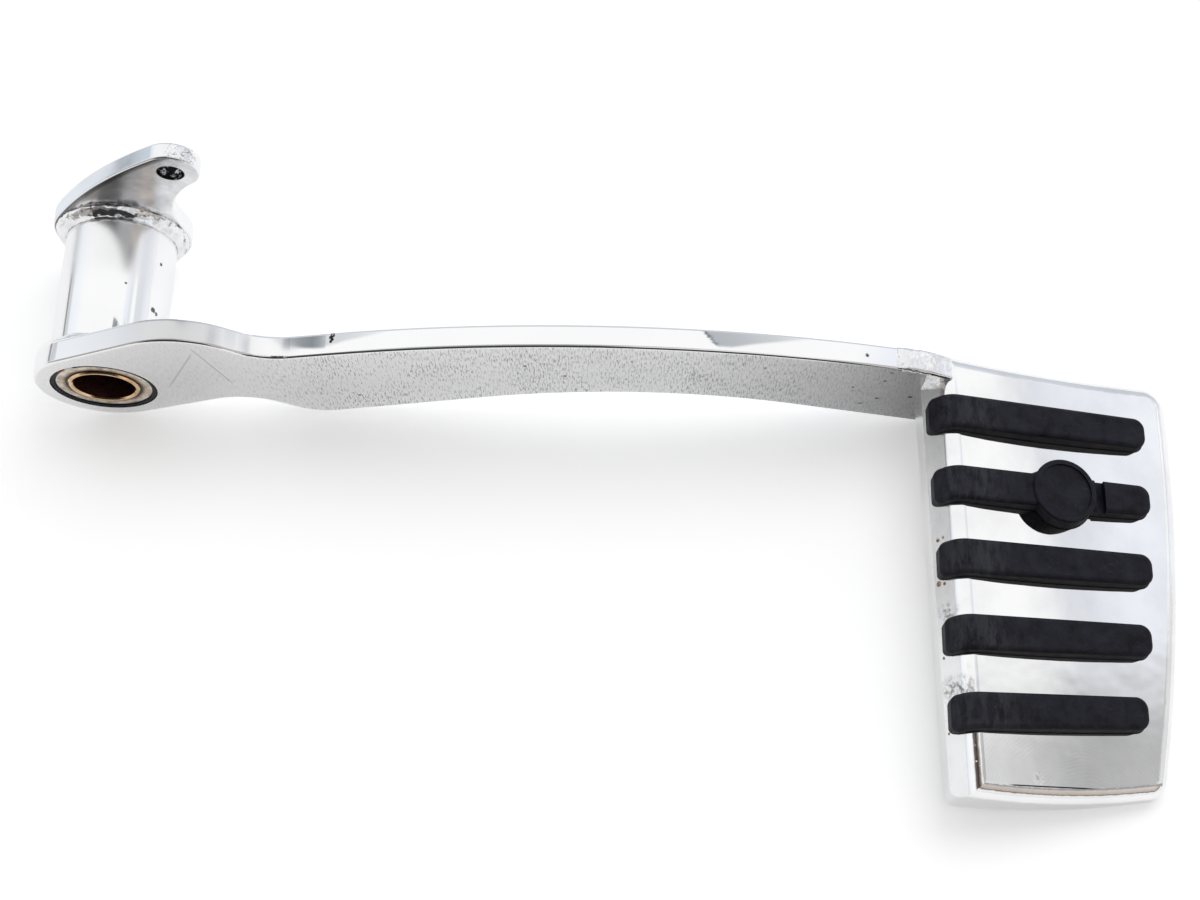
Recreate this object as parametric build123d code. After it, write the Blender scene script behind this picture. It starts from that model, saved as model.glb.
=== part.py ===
from build123d import *
import math
import os

# Rear brake pedal of a motorcycle, in millimetres. The pivot axis is Y, the arm runs along +X
# to the foot pad and +Z is up. The origin is on the pivot axis, in the eye's outboard face.
# Outboard, towards the rider's foot, is -Y.

# Pivot: two bronze bushes in a tube that is shouldered between the lever and the crank plate
BORE_RADIUS = 7.94
BUSH_WALL = 1.25
BUSH_LENGTH = 19.0
BUSH_CHAMFER = 0.35
BUSH_FIT = 0.01
TUBE_RADIUS = 14.5
TUBE_LENGTH = 38.0
SPIGOT_RADIUS = 12.2
SPIGOT_FIT = 0.03
SPIGOT_RECESS = 0.5
GREASE_RELIEF = 0.6

# Face seals, one in a counterbore around each spigot
SEAL_SECTION = 1.45
SEAL_FIT = 0.03
SEAL_RECESS = 0.1

# Lever bar, cut from flat bar: the corners of its edges in the X-Z plane and how each is rounded
BAR_THICKNESS = 6.35
BAR_EDGE_ROUND = 0.8
EYE_RADIUS = 17.8
HUMP_CORNER = (25.0, 33.4)
HUMP_ROUND = 21.5
NECK_CORNER = (44.3, 18.9)
NECK_ROUND = 16.0
ARCH_CORNER = (136.3, 39.9)
ARCH_ROUND = 296.0
UNDER_NECK_CORNER = (36.5, -3.2)
UNDER_NECK_ROUND = 16.0
BELLY_CORNER = (53.7, -14.7)
BELLY_ROUND = 13.0
UNDER_ARCH_CORNER = (139.0, 7.9)
UNDER_ARCH_ROUND = 151.0
BAR_END_TOP = 17.8
BAR_END_HEIGHT = 30.4
NOSE_LENGTH = 12.0
NOSE_ROUND = 8.0

# Crank plate, welded to the tube's inboard end
CRANK_THICKNESS = 4.76
CRANK_EDGE_ROUND = 0.7
CRANK_FOOT_RADIUS = 18.2
CRANK_REACH = 39.6
CRANK_ANGLE = 59.3
CRANK_END_RADIUS = 7.3
CRANK_WAIST_RADIUS = 22.0
CRANK_BACK_RADIUS = 100.0
CLEVIS_HOLE_RADIUS = 3.45

# Weld beads
EYE_WELD_LEG = 2.4
CRANK_WELD_LEG = 3.0
WELD_CROWN = 0.7
PAD_WELD_BACK = 8.0
PAD_WELD_FRONT = 1.5
PAD_WELD_CROWN = 1.3

# Pad shell: plan outline, wedge section and dished face
PAD_REAR_X = 210.9
PAD_REAR_SKEW = 2.4
PAD_WIDTH = 112.0
PAD_OVERHANG = 1.5
PAD_INBOARD_DEPTH = 65.4
PAD_OUTBOARD_DEPTH = 53.5
PAD_INBOARD_TAPER = 2.0
PAD_OUTBOARD_TAPER = 3.0
PAD_FRONT_BOW = 3.4
PAD_OUTBOARD_BOW = 1.6
FRONT_INBOARD_ROUND = 6.5
FRONT_OUTBOARD_ROUND = 5.0
REAR_OUTBOARD_ROUND = 2.5
REAR_INBOARD_ROUND = 7.0
PAD_TOP_Z = 14.6
PAD_FACE_SLOPE = 15.5
PAD_FACE_DISH = 2.0
PAD_REAR_HEIGHT = 16.6
PAD_FRONT_THICKNESS = 6.0
BEVEL_RUN = 5.8
BEVEL_DROP = 7.2
PAD_EDGE_ROUND = 3.6
PAD_WALL = 2.4
INNER_ROUND = 1.0

# Rubber tread: ribs that stand through slots in the shell and hook over its rear bevel
RIB_COUNT = 5
RIB_FIRST_Y = -9.0
RIB_REAR_PITCH = 19.05
RIB_FRONT_PITCH = 18.3
RIB_REAR_WIDTH = 9.0
RIB_FRONT_WIDTH = 8.1
RIB_CORNER_ROUND = 3.0
RIB_HEIGHT = 2.6
RIB_BEND_ROUND = 5.0
RIB_EDGE_ROUND = 1.2
RIB_REAR_ROUND = 1.8
RIB_FRONT_MARGIN = 7.7
RIB_REAR_MARGIN = 0.6
SLOT_FIT = 0.15
TREAD_DEPTH = 5.8
TREAD_FIT = 0.1
DISC_RIB = 1
DISC_RADIUS = 8.3
DISC_REACH = 33.7
DISC_RISE = 0.7
DISC_EDGE_ROUND = 0.5
DISC_RIM = 1.3
DISC_RECESS = 0.5
NOTCH_WIDTH = 2.6
NOTCH_DEPTH = 2.2

# Retainer plate under the tread, and its screws
RETAINER_THICKNESS = 1.2
RETAINER_START = 4.0
RETAINER_LENGTH = 18.0
RETAINER_SIDE_GAP = 7.6
RETAINER_ROUND = 4.0
SCREW_RADIUS = 2.0
SCREW_FIT = 0.03
SCREW_GRIP = 2.2
SCREW_HEAD_RADIUS = 3.6
SCREW_HEAD_HEIGHT = 2.2
SCREW_HEAD_DOME = 0.8
SCREW_SOCKET = 2.5
SCREW_SOCKET_DEPTH = 1.2
WASHER_RADIUS = 4.5
WASHER_THICKNESS = 0.8
WASHER_FIT = 0.25
BOSS_RADIUS = 4.0
BOSS_FIT = 0.25

# Cutting blocks: how far they run past a face, and the length of those that cross the whole part
CUT_OVERRUN = 1.0
FAR = 400.0

# Faces that look up less than this are walls
STEEP = 0.1

bush_radius = BORE_RADIUS + BUSH_WALL
seal_outer = SPIGOT_RADIUS + SEAL_SECTION + SEAL_FIT
seal_depth = SEAL_RECESS + SEAL_SECTION
tube_start = BAR_THICKNESS
tube_end = tube_start + TUBE_LENGTH
crank_end = tube_end + CRANK_THICKNESS
pad_inboard_y = BAR_THICKNESS + PAD_OVERHANG
pad_outboard_y = pad_inboard_y - PAD_WIDTH
pad_front_x = PAD_REAR_X + PAD_INBOARD_DEPTH
face_rear_x = PAD_REAR_X + BEVEL_RUN
face_length = pad_front_x - face_rear_x
face_drop = face_length * math.tan(math.radians(PAD_FACE_SLOPE))
foot_rear_z = PAD_TOP_Z - PAD_REAR_HEIGHT
foot_front_z = PAD_TOP_Z - face_drop - PAD_FRONT_THICKNESS


def polar(radius, degrees):
    angle = math.radians(degrees)
    return (radius * math.cos(angle), radius * math.sin(angle))


def plate(outline, start_y, thickness):
    # An X-Z outline made solid, from start_y inboard
    return extrude(Plane.XZ.offset(-start_y - thickness) * outline, thickness)


def turned(section):
    # A section of points (radius, y) turned about the pivot axis
    points = [(radius, y) for radius, y in section]
    return revolve(make_face(Polyline(*points, close=True)), Axis.Y)


def disc_y(radius, start_y, end_y):
    # A round bar on the pivot axis
    return turned([(0, start_y), (radius, start_y), (radius, end_y), (0, end_y)])


def eye_tangent(corner, side):
    # Where the line from a corner touches the eye's rim, on its upper (1) or lower (-1) side
    across = math.degrees(math.acos(EYE_RADIUS / math.hypot(*corner)))
    return polar(EYE_RADIUS, math.degrees(math.atan2(corner[1], corner[0])) + side * across)


def run_on(corner, end_z):
    # The point a nose length past the pad's rear wall, on the line from a corner to the bar's end
    slope = (end_z - corner[1]) / (PAD_REAR_X - corner[0])
    return (PAD_REAR_X + NOSE_LENGTH, end_z + slope * NOSE_LENGTH)


def lever_outline():
    top_start = eye_tangent(HUMP_CORNER, 1)
    bottom_start = eye_tangent(UNDER_NECK_CORNER, -1)
    top_end = run_on(ARCH_CORNER, BAR_END_TOP)
    bottom_end = run_on(UNDER_ARCH_CORNER, BAR_END_TOP - BAR_END_HEIGHT)
    upper = FilletPolyline(
        top_start, HUMP_CORNER, NECK_CORNER, ARCH_CORNER, top_end,
        radius=[HUMP_ROUND, NECK_ROUND, ARCH_ROUND])
    lower = FilletPolyline(
        bottom_start, UNDER_NECK_CORNER, BELLY_CORNER, UNDER_ARCH_CORNER, bottom_end, top_end,
        radius=[UNDER_NECK_ROUND, BELLY_ROUND, UNDER_ARCH_ROUND, NOSE_ROUND])
    rim = ThreePointArc(bottom_start, (-EYE_RADIUS, 0), top_start)
    return make_face([upper, lower, rim])


def lever_bar():
    bar = plate(lever_outline(), 0, BAR_THICKNESS)
    sides = bar.faces().filter_by(Axis.Y)
    bar = fillet(sides.edges(), BAR_EDGE_ROUND)
    bar -= pad_column()
    bar -= disc_y(SPIGOT_RADIUS + SPIGOT_FIT, -CUT_OVERRUN, BAR_THICKNESS + CUT_OVERRUN)
    bar -= disc_y(seal_outer, -CUT_OVERRUN, seal_depth)
    return bar


def pivot_tube():
    near = SPIGOT_RECESS
    far = crank_end - SPIGOT_RECESS
    relief = bush_radius + GREASE_RELIEF
    seat = bush_radius + BUSH_FIT
    return turned([
        (seat, near), (SPIGOT_RADIUS, near), (SPIGOT_RADIUS, tube_start),
        (TUBE_RADIUS, tube_start), (TUBE_RADIUS, tube_end),
        (SPIGOT_RADIUS, tube_end), (SPIGOT_RADIUS, far), (seat, far),
        (seat, crank_end - BUSH_LENGTH), (relief, crank_end - BUSH_LENGTH),
        (relief, BUSH_LENGTH), (seat, BUSH_LENGTH)])


def bush(start_y):
    end_y = start_y + BUSH_LENGTH
    cut = BUSH_CHAMFER
    return turned([
        (BORE_RADIUS, start_y + cut), (BORE_RADIUS + cut, start_y),
        (bush_radius - cut, start_y), (bush_radius, start_y + cut),
        (bush_radius, end_y - cut), (bush_radius - cut, end_y),
        (BORE_RADIUS + cut, end_y), (BORE_RADIUS, end_y - cut)])


def seal_ring(centre_y):
    section = Pos(SPIGOT_RADIUS + SEAL_FIT + SEAL_SECTION / 2, centre_y) * Circle(SEAL_SECTION / 2)
    return revolve(section, Axis.Y)


def crank_centre(to_foot, to_end):
    # The point in front of the crank at these distances from its foot and end centres
    turn = math.degrees(math.acos(
        (to_foot ** 2 + CRANK_REACH ** 2 - to_end ** 2) / (2 * to_foot * CRANK_REACH)))
    return Vector(*polar(to_foot, CRANK_ANGLE - turn))


def crank_outline():
    # Foot and end circles, joined by a bowed back and a hollow waist that touch both
    end = Vector(*polar(CRANK_REACH, CRANK_ANGLE))
    back = crank_centre(
        CRANK_BACK_RADIUS - CRANK_FOOT_RADIUS, CRANK_BACK_RADIUS - CRANK_END_RADIUS)
    waist = crank_centre(
        CRANK_WAIST_RADIUS + CRANK_FOOT_RADIUS, CRANK_WAIST_RADIUS + CRANK_END_RADIUS)
    back_foot = back.normalized() * -CRANK_FOOT_RADIUS
    back_end = end + (end - back).normalized() * CRANK_END_RADIUS
    back_middle = back + (back_foot + back_end - back * 2).normalized() * CRANK_BACK_RADIUS
    front_foot = waist.normalized() * CRANK_FOOT_RADIUS
    front_end = end + (waist - end).normalized() * CRANK_END_RADIUS
    front_middle = waist + (front_foot + front_end - waist * 2).normalized() * CRANK_WAIST_RADIUS
    tip = end + Vector(*polar(CRANK_END_RADIUS, CRANK_ANGLE))
    heel = polar(-CRANK_FOOT_RADIUS, CRANK_ANGLE)
    return make_face([
        ThreePointArc(back_foot, back_middle, back_end),
        ThreePointArc(back_end, tip, front_end),
        ThreePointArc(front_end, front_middle, front_foot),
        ThreePointArc(front_foot, heel, back_foot)])


def crank_plate():
    crank = plate(crank_outline(), tube_end, CRANK_THICKNESS)
    sides = crank.faces().filter_by(Axis.Y)
    crank = fillet(sides.edges(), CRANK_EDGE_ROUND)
    through = (tube_end - CUT_OVERRUN, crank_end + CUT_OVERRUN)
    crank -= disc_y(SPIGOT_RADIUS + SPIGOT_FIT, *through)
    crank -= disc_y(seal_outer, crank_end - seal_depth, crank_end + CUT_OVERRUN)
    hole = Pos(*polar(CRANK_REACH, CRANK_ANGLE)) * Circle(CLEVIS_HOLE_RADIUS)
    crank -= plate(hole, through[0], through[1] - through[0])
    return crank


def ring_weld(face_y, leg):
    # A fillet weld around the tube: legs on the tube and on the plate, with a rounded face
    inner = (TUBE_RADIUS, face_y)
    on_plate = (TUBE_RADIUS + abs(leg), face_y)
    on_tube = (TUBE_RADIUS, face_y + leg)
    slant = Vector(*on_plate) + Vector(*on_tube)
    crown = WELD_CROWN / math.sqrt(2)
    middle = slant * 0.5 + Vector(crown, math.copysign(crown, leg))
    section = make_face([
        Line(inner, on_plate), ThreePointArc(on_plate, middle, on_tube), Line(on_tube, inner)])
    return revolve(section, Axis.Y)


def pad_plan(inset):
    # Plan outline of the pad, seen from above, drawn in by the inset
    inboard_rear = (PAD_REAR_X, pad_inboard_y)
    inboard_front = (pad_front_x, pad_inboard_y - PAD_INBOARD_TAPER)
    outboard_rear = (PAD_REAR_X + PAD_REAR_SKEW, pad_outboard_y)
    outboard_front = (outboard_rear[0] + PAD_OUTBOARD_DEPTH, pad_outboard_y + PAD_OUTBOARD_TAPER)
    outline = make_face([
        Line(outboard_rear, inboard_rear),
        Line(inboard_rear, inboard_front),
        SagittaArc(inboard_front, outboard_front, PAD_FRONT_BOW),
        SagittaArc(outboard_front, outboard_rear, PAD_OUTBOARD_BOW)])
    if inset:
        outline = offset(outline, -inset, kind=Kind.INTERSECTION)
    rounds = [
        (inboard_rear, REAR_INBOARD_ROUND), (inboard_front, FRONT_INBOARD_ROUND),
        (outboard_front, FRONT_OUTBOARD_ROUND), (outboard_rear, REAR_OUTBOARD_ROUND)]
    for corner, radius in rounds:
        vertex = outline.vertices().sort_by_distance(corner)[0]
        outline = fillet(vertex, max(radius - inset, INNER_ROUND))
    return outline


def face_plane(depth):
    # The pad's chord plane, sunk by a depth along its own normal
    slope = math.radians(PAD_FACE_SLOPE)
    along = (math.cos(slope), 0, -math.sin(slope))
    normal = Vector(math.sin(slope), 0, math.cos(slope))
    start = Vector(face_rear_x, 0, PAD_TOP_Z) - normal * depth
    return Plane(origin=start, x_dir=along, z_dir=normal)


def bevel_plane(depth):
    # The rear bevel, which follows the skewed rear edge
    edge = Vector(PAD_REAR_SKEW, -PAD_WIDTH, 0).normalized()
    fall = Vector(-BEVEL_RUN, 0, -BEVEL_DROP)
    normal = edge.cross(fall).normalized()
    if normal.Z < 0:
        normal = normal * -1
    start = Vector(face_rear_x, pad_inboard_y, PAD_TOP_Z) - normal * depth
    return Plane(origin=start, x_dir=edge, z_dir=normal)


def foot_plane():
    run = Vector(PAD_INBOARD_DEPTH, 0, foot_front_z - foot_rear_z)
    normal = Vector(0, 1, 0).cross(run) * -1
    return Plane(origin=(PAD_REAR_X, 0, foot_rear_z), x_dir=run, z_dir=normal)


def column(inset):
    # The plan outline as a tall column
    return extrude(Pos(0, 0, -FAR / 2) * pad_plan(inset), FAR)


def pad_column():
    # All that lies above the pad's foot inside its plan
    return split(column(0), bisect_by=foot_plane(), keep=Keep.TOP)


def pad_block(inset, dish):
    # The wedge with all its faces drawn in by the inset, open downwards
    block = split(column(inset), bisect_by=face_plane(inset), keep=Keep.BOTTOM)
    if dish:
        span = face_length / math.cos(math.radians(PAD_FACE_SLOPE)) + 2 * CUT_OVERRUN
        radius = (span ** 2 / 4 + dish ** 2) / (2 * dish)
        axis = face_plane(inset) * Pos(span / 2 - CUT_OVERRUN, 0, radius - dish)
        block -= axis * Rot(90, 0, 0) * Cylinder(radius, FAR)
    return split(block, bisect_by=bevel_plane(inset), keep=Keep.BOTTOM)


def rib_line(index):
    # Middle line of one rib: points at the rear edge and at its front end
    rear_y = RIB_FIRST_Y - index * RIB_REAR_PITCH
    front_y = RIB_FIRST_Y - index * RIB_FRONT_PITCH
    across = (pad_inboard_y - rear_y) / PAD_WIDTH
    rear_x = PAD_REAR_X + PAD_REAR_SKEW * across
    probe = Edge.make_line((PAD_REAR_X + RIB_FRONT_MARGIN, front_y), (FAR, front_y))
    reach = pad_plan(0).face().intersect(probe)
    front_x = max(point.X for edge in reach.edges() for point in edge.vertices())
    return (rear_x, rear_y), (front_x - RIB_FRONT_MARGIN, front_y)


def rib_plan(index, start, grow):
    # Plan of one rib from a distance inside the rear wall to its rounded front end
    rear, front = rib_line(index)
    slope = (front[1] - rear[1]) / (front[0] - rear[0])
    start_x = rear[0] + start
    start_y = rear[1] + slope * start
    rear_half = RIB_REAR_WIDTH / 2 + grow
    front_half = RIB_FRONT_WIDTH / 2 + grow
    front_x = front[0] + grow
    outline = make_face(Polyline(
        (start_x, start_y - rear_half), (front_x, front[1] - front_half),
        (front_x, front[1] + front_half), (start_x, start_y + rear_half), close=True))
    ends = outline.vertices().sort_by(Axis.X)[-2:]
    outline = fillet(ends, RIB_CORNER_ROUND + grow)
    if index == DISC_RIB:
        outline += Pos(*disc_centre()) * Circle(DISC_RADIUS + grow)
    return outline


def disc_centre():
    rear, front = rib_line(DISC_RIB)
    share = DISC_REACH / (front[0] - rear[0])
    return (rear[0] + DISC_REACH, rear[1] + share * (front[1] - rear[1]))


def tall(plan):
    return extrude(Pos(0, 0, -FAR / 2) * plan, FAR)


def screw_places():
    # Planes on the retainer's upper face, one midway between each two ribs, Z along the screw axis
    seat = face_plane(TREAD_DEPTH)
    along = RETAINER_START + RETAINER_LENGTH / 2
    first_y = RIB_FIRST_Y - RIB_REAR_PITCH / 2
    return [seat * Pos(along, first_y - gap * RIB_REAR_PITCH, 0) for gap in range(RIB_COUNT - 1)]


def lean(face):
    # How far a face looks up, from 0 for a wall to 1 for a floor
    return face.normal_at(face.center()).Z


def pad_form():
    # The solid wedge with the edges of its face rolled over, open downwards
    block = pad_block(0, PAD_FACE_DISH)
    face = block.faces().filter_by(lambda face: lean(face) > STEEP).sort_by(SortBy.AREA)[-1]
    return fillet(face.edges(), PAD_EDGE_ROUND)


def pad_outer():
    # The pad's outer form down to its foot
    return split(pad_form(), bisect_by=foot_plane(), keep=Keep.TOP)


def pad_shell():
    cavity = pad_block(PAD_WALL, PAD_FACE_DISH)
    shell = pad_outer() - cavity
    for place in screw_places():
        boss = place * Pos(0, 0, TREAD_DEPTH / 2) * Cylinder(BOSS_RADIUS, TREAD_DEPTH)
        shell += boss & cavity
    for index in range(RIB_COUNT):
        shell -= tall(rib_plan(index, PAD_WALL, SLOT_FIT)) - foot_half()
    for place in screw_places():
        shell -= place * Cylinder(SCREW_RADIUS + SCREW_FIT, 2 * SCREW_GRIP)
    return shell


def foot_half():
    # All that lies below the tread's seat
    deep = face_plane(TREAD_DEPTH)
    return deep * Pos(0, 0, -FAR / 2) * Box(FAR, FAR, FAR)


def rubber_tread():
    tread = pad_block(PAD_WALL + TREAD_FIT, PAD_FACE_DISH) - foot_half()
    for place in screw_places():
        tread -= place * Cylinder(BOSS_RADIUS + BOSS_FIT, 2 * FAR)
    outer = pad_form()
    for index in range(RIB_COUNT):
        rib = rounded_rib(index)
        if index == DISC_RIB:
            rib = notched(rib) + disc_boss()
        slot_rear = Plane.YZ.offset(rib_line(index)[0][0] + PAD_WALL + SLOT_FIT)
        rib -= split(outer, bisect_by=slot_rear, keep=Keep.BOTTOM)
        rib -= split(foot_half(), bisect_by=slot_rear, keep=Keep.TOP)
        tread += rib
    return tread


def rib_block():
    # The envelope of the ribs' tops: flat above the dished face, rounded where they bend
    block = pad_block(-RIB_HEIGHT, 0)
    bend = block.edges().filter_by(lambda edge: abs(edge.center().Z - PAD_TOP_Z) < 2 * RIB_HEIGHT)
    return fillet(bend.sort_by(SortBy.LENGTH)[-1], RIB_BEND_ROUND)


def rounded_rib(index):
    # One rib from its rear end to its front, with its rear corners and upper edges rounded
    rib = rib_block() & tall(rib_plan(index, RIB_REAR_MARGIN, 0))
    corners = rib.edges().filter_by(Axis.Z).sort_by(Axis.X)[:2]
    rib = fillet(corners, RIB_REAR_ROUND)
    walls = rib.faces().filter_by(lambda face: abs(lean(face)) < STEEP)
    tops = rib.faces().filter_by(lambda face: lean(face) > STEEP)
    rim = [edge for edge in tops.edges() if edge in walls.edges()]
    return fillet(rim, RIB_EDGE_ROUND)


def disc_boss():
    # The round plate on one rib, recessed inside its rim
    height = RIB_HEIGHT + DISC_RISE
    boss = pad_block(-height, 0) & tall(Pos(*disc_centre()) * Circle(DISC_RADIUS))
    boss = fillet(boss.faces().sort_by(Axis.Z)[-1].edges(), DISC_EDGE_ROUND)
    well = tall(Pos(*disc_centre()) * Circle(DISC_RADIUS - DISC_RIM))
    return boss - (well - pad_block(DISC_RECESS - height, 0))


def notched(rib):
    # The cross cut in the rib just in front of the disc
    centre = disc_centre()
    middle = centre[0] + DISC_RADIUS + NOTCH_WIDTH / 2
    band = Pos(middle, centre[1]) * Rectangle(NOTCH_WIDTH, 2 * RIB_REAR_WIDTH)
    floor = pad_block(NOTCH_DEPTH - RIB_HEIGHT, 0)
    return rib - (tall(band) - floor)


def retainer_plate():
    seat = face_plane(TREAD_DEPTH)
    width = PAD_WIDTH - 2 * (PAD_WALL + RETAINER_SIDE_GAP)
    middle_y = (pad_inboard_y + pad_outboard_y) / 2
    outline = Pos(RETAINER_START + RETAINER_LENGTH / 2, middle_y) * RectangleRounded(
        RETAINER_LENGTH, width, RETAINER_ROUND)
    sheet = extrude(seat * outline, -RETAINER_THICKNESS)
    for place in screw_places():
        sheet -= place * Cylinder(SCREW_RADIUS + WASHER_FIT, 4 * RETAINER_THICKNESS)
    return sheet


def washers():
    ring = Circle(WASHER_RADIUS) - Circle(SCREW_RADIUS + WASHER_FIT)
    return [
        extrude(place * Pos(0, 0, -RETAINER_THICKNESS) * ring, -WASHER_THICKNESS)
        for place in screw_places()]


def screw():
    # A button-head screw with its tip at the grip's end, its seat below the washer
    seat = -RETAINER_THICKNESS - WASHER_THICKNESS
    base = seat - SCREW_HEAD_HEIGHT
    crown = SCREW_HEAD_RADIUS - SCREW_HEAD_DOME
    section = make_face(Polyline(
        (0, SCREW_GRIP), (SCREW_RADIUS, SCREW_GRIP), (SCREW_RADIUS, seat),
        (SCREW_HEAD_RADIUS, seat), (SCREW_HEAD_RADIUS, base + SCREW_HEAD_DOME),
        (crown, base), (0, base), close=True))
    body = revolve(Plane.XZ * section, Axis.Z)
    socket = Pos(0, 0, base) * RegularPolygon(SCREW_SOCKET / 2, 6, major_radius=False)
    return body - extrude(socket, SCREW_SOCKET_DEPTH)


def pad_weld():
    # The bead over the bar's end, which fills the groove between it and the pad's rear bevel
    bar_fall = (ARCH_CORNER[1] - BAR_END_TOP) / (PAD_REAR_X - ARCH_CORNER[0])
    face_fall = math.tan(math.radians(PAD_FACE_SLOPE))
    on_bar = (PAD_REAR_X - PAD_WELD_BACK, BAR_END_TOP + PAD_WELD_BACK * bar_fall)
    on_pad = (face_rear_x + PAD_WELD_FRONT, PAD_TOP_Z - PAD_WELD_FRONT * face_fall)
    root = (PAD_REAR_X, PAD_TOP_Z - BEVEL_DROP)
    outline = make_face([
        SagittaArc(on_bar, on_pad, PAD_WELD_CROWN), Line(on_pad, root), Line(root, on_bar)])
    bead = plate(outline, 0, BAR_THICKNESS)
    crown = bead.faces().filter_by(GeomType.CYLINDER).edges().filter_by(GeomType.CIRCLE)
    bead = fillet(crown, BAR_EDGE_ROUND) - lever_bar() - pad_outer()
    return bead.solids().sort_by(SortBy.VOLUME)[-1]


nodes = {
    "lever_bar": lever_bar(),
    "pivot_tube": pivot_tube(),
    "crank_plate": crank_plate(),
    "eye_weld": ring_weld(tube_start, EYE_WELD_LEG),
    "crank_weld": ring_weld(tube_end, -CRANK_WELD_LEG),
    "pad_weld": pad_weld(),
    "outer_bush": bush(0),
    "inner_bush": bush(crank_end - BUSH_LENGTH),
    "outer_seal": seal_ring(SEAL_RECESS + SEAL_SECTION / 2),
    "inner_seal": seal_ring(crank_end - SEAL_RECESS - SEAL_SECTION / 2),
    "pad_shell": pad_shell(),
    "rubber_tread": rubber_tread(),
    "retainer_plate": retainer_plate(),
    "retainer_screws": Compound(children=[place * screw() for place in screw_places()]),
    "screw_washers": Compound(children=washers()),
}

os.makedirs("parts", exist_ok=True)
for name, solid in nodes.items():
    export_step(solid, f"parts/{name}.step")
    print(name, round(solid.volume, 1))
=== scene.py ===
import bpy
from mathutils import Matrix, Vector


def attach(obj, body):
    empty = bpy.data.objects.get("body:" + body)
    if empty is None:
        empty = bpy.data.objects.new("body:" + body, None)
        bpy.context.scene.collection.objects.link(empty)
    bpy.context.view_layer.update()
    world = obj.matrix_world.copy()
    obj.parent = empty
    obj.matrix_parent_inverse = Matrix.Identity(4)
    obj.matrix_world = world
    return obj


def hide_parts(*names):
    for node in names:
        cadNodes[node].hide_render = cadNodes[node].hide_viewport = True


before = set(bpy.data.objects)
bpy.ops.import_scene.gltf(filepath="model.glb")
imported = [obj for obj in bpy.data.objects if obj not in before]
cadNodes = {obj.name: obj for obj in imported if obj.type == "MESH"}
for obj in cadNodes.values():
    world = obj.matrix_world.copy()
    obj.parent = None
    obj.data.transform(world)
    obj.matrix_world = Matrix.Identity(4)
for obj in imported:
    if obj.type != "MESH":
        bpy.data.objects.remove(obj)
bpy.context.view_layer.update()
print("frame loaded:", len(cadNodes), "CAD nodes")

mm = 0.001
white = (1.0, 1.0, 1.0)
black = (0.0, 0.0, 0.0)


def grey(level):
    return (level, level, level)


def scaled(values, share):
    return tuple(share * value for value in values)


def shades(tone, shares):
    # ramp stops that are shares of one tone
    return [(at, scaled(tone, share)) for at, share in shares]


def addNode(tree, kind, props=None, values=None):
    made = tree.nodes.new(kind)
    for key, value in (props or {}).items():
        setattr(made, key, value)
    for key, value in (values or {}).items():
        made.inputs[key].default_value = value
    return made


def join(tree, source, target):
    # source and target are (node, socket) pairs
    tree.links.new(source[0].outputs[source[1]], target[0].inputs[target[1]])


def feed(tree, socket, item):
    # item is a number, a (node, socket) pair or a colour of three values
    if isinstance(item, (int, float)):
        socket.default_value = item
    elif len(item) == 2:
        tree.links.new(item[0].outputs[item[1]], socket)
    else:
        socket.default_value = (*item, 1.0)


def startMaterial(name):
    material = bpy.data.materials.new(name)
    material.use_nodes = True
    tree = material.node_tree
    return material, tree, tree.nodes["Principled BSDF"]


def objectPlace(tree):
    return (addNode(tree, "ShaderNodeTexCoord"), "Object")


def stretched(tree, place, scale):
    made = addNode(tree, "ShaderNodeMapping", values={"Scale": scale})
    join(tree, place, (made, "Vector"))
    return (made, "Vector")


def noise(tree, place, scale, detail=3.0, rough=0.55, distortion=0.0):
    made = addNode(tree, "ShaderNodeTexNoise", values={
        "Scale": scale, "Detail": detail, "Roughness": rough, "Distortion": distortion})
    join(tree, place, (made, "Vector"))
    return (made, "Fac")


def ramp(tree, source, stops):
    # stops are (position, colour) with a grey level or a colour of three values
    made = addNode(tree, "ShaderNodeValToRGB")
    band = made.color_ramp
    while len(band.elements) < len(stops):
        band.elements.new(0.5)
    for element, (position, colour) in zip(band.elements, stops):
        element.position = position
        tone = grey(colour) if isinstance(colour, (int, float)) else colour
        element.color = (*tone, 1.0)
    join(tree, source, (made, "Fac"))
    return (made, "Color")


def maths(tree, operation, *items):
    made = addNode(tree, "ShaderNodeMath", {"operation": operation})
    for socket, item in zip(made.inputs, items):
        feed(tree, socket, item)
    return (made, "Value")


def times(tree, first, *others):
    for other in others:
        first = maths(tree, "MULTIPLY", first, other)
    return first


def greatest(tree, first, *others):
    for other in others:
        first = maths(tree, "MAXIMUM", first, other)
    return first


def mixColour(tree, share, first, second, blend="MIX"):
    made = addNode(tree, "ShaderNodeMix", {"data_type": "RGBA", "blend_type": blend})
    # this node repeats its socket names, so the share and the two colours go by number
    for index, item in ((0, share), (6, first), (7, second)):
        feed(tree, made.inputs[index], item)
    return (made, 2)


def tinted(tree, share, colour, tint):
    # the colour times a tint, over this share of the surface
    return mixColour(tree, share, colour, mixColour(tree, 1.0, colour, tint, "MULTIPLY"))


def bump(tree, height, strength, depth, under=None, sunk=False):
    # depth in mm
    made = addNode(tree, "ShaderNodeBump", {"invert": sunk},
                   {"Strength": strength, "Distance": depth * mm})
    join(tree, height, (made, "Height"))
    if under:
        join(tree, under, (made, "Normal"))
    return (made, "Normal")


def axisParts(tree, place):
    split = addNode(tree, "ShaderNodeSeparateXYZ")
    join(tree, place, (split, "Vector"))
    return (split, "X"), (split, "Y"), (split, "Z")


def facing(tree):
    # parts of the surface normal
    return axisParts(tree, (addNode(tree, "ShaderNodeNewGeometry"), "Normal"))


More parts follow.
